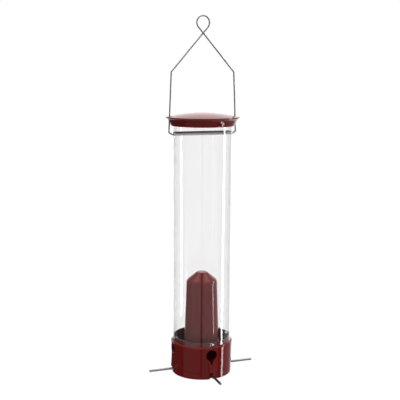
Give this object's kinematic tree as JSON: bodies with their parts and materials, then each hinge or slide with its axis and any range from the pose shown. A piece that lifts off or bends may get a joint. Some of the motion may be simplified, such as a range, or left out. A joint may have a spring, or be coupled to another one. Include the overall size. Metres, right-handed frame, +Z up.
{
  "type": "hanging bird feeder",
  "caption": "Clear tube bird feeder on a moulded base with feeding ports and dipping wire perches, a domed lid and a wire bail with a hanging loop.",
  "frame": {"origin": "centre of the underside of the base", "axes": "+Z up along the tube; the bail and two of the perches lie along X, the other two perches along Y"},
  "size_m": [0.213, 0.213, 0.6877],
  "materials": {
    "maroon_plastic": "glossy moulded maroon plastic",
    "clear_plastic": "clear polished plastic tube",
    "steel_wire": "drawn stainless wire and tube, satin",
    "spring_steel": "plain spring wire",
    "bright_steel": "bright plated fasteners and pins"
  },
  "bodies": {
    "feeder": {"base_housing": "maroon_plastic", "base_cover": "maroon_plastic", "baffle_column": "maroon_plastic", "seed_tube": "clear_plastic", "hanger_wire": "steel_wire", "spreader_tube": "steel_wire", "perch_pin_front": "bright_steel", "perch_spring_front": "spring_steel", "tube_screw_front": "bright_steel", "tube_nut_front": "bright_steel", "perch_pin_right": "bright_steel", "perch_spring_right": "spring_steel", "tube_screw_right": "bright_steel", "tube_nut_right": "bright_steel", "perch_pin_back": "bright_steel", "perch_spring_back": "spring_steel", "tube_screw_back": "bright_steel", "tube_nut_back": "bright_steel", "perch_pin_left": "bright_steel", "perch_spring_left": "spring_steel", "tube_screw_left": "bright_steel", "tube_nut_left": "bright_steel", "cover_screw_1": "bright_steel", "cover_screw_2": "bright_steel", "cover_screw_3": "bright_steel", "cover_screw_4": "bright_steel", "baffle_screw": "bright_steel"},
    "lid": {"lid": "maroon_plastic"},
    "perch_front": {"perch_front": "steel_wire"},
    "perch_right": {"perch_right": "steel_wire"},
    "perch_back": {"perch_back": "steel_wire"},
    "perch_left": {"perch_left": "steel_wire"}
  },
  "joints": [
    {"name": "lid_slide", "type": "slide", "parent": "feeder", "child": "lid", "axis": [0, 0, 1], "range_m": [0, 0.075]},
    {"name": "perch_front_dip", "type": "hinge", "parent": "feeder", "child": "perch_front", "pos_m": [0, -0.048, 0.025], "axis": [1, 0, 0], "range_deg": [0, 25], "stiffness_Nm_per_rad": 0.1, "springref_deg": -45.84, "deforming": ["perch_spring_front"]},
    {"name": "perch_right_dip", "type": "hinge", "parent": "feeder", "child": "perch_right", "pos_m": [0.048, 0, 0.025], "axis": [0, 1, 0], "range_deg": [0, 25], "stiffness_Nm_per_rad": 0.1, "springref_deg": -45.84, "deforming": ["perch_spring_right"]},
    {"name": "perch_back_dip", "type": "hinge", "parent": "feeder", "child": "perch_back", "pos_m": [0, 0.048, 0.025], "axis": [-1, 0, 0], "range_deg": [0, 25], "stiffness_Nm_per_rad": 0.1, "springref_deg": -45.84, "deforming": ["perch_spring_back"]},
    {"name": "perch_left_dip", "type": "hinge", "parent": "feeder", "child": "perch_left", "pos_m": [-0.048, 0, 0.025], "axis": [0, -1, 0], "range_deg": [0, 25], "stiffness_Nm_per_rad": 0.1, "springref_deg": -45.84, "deforming": ["perch_spring_left"]}
  ]
}
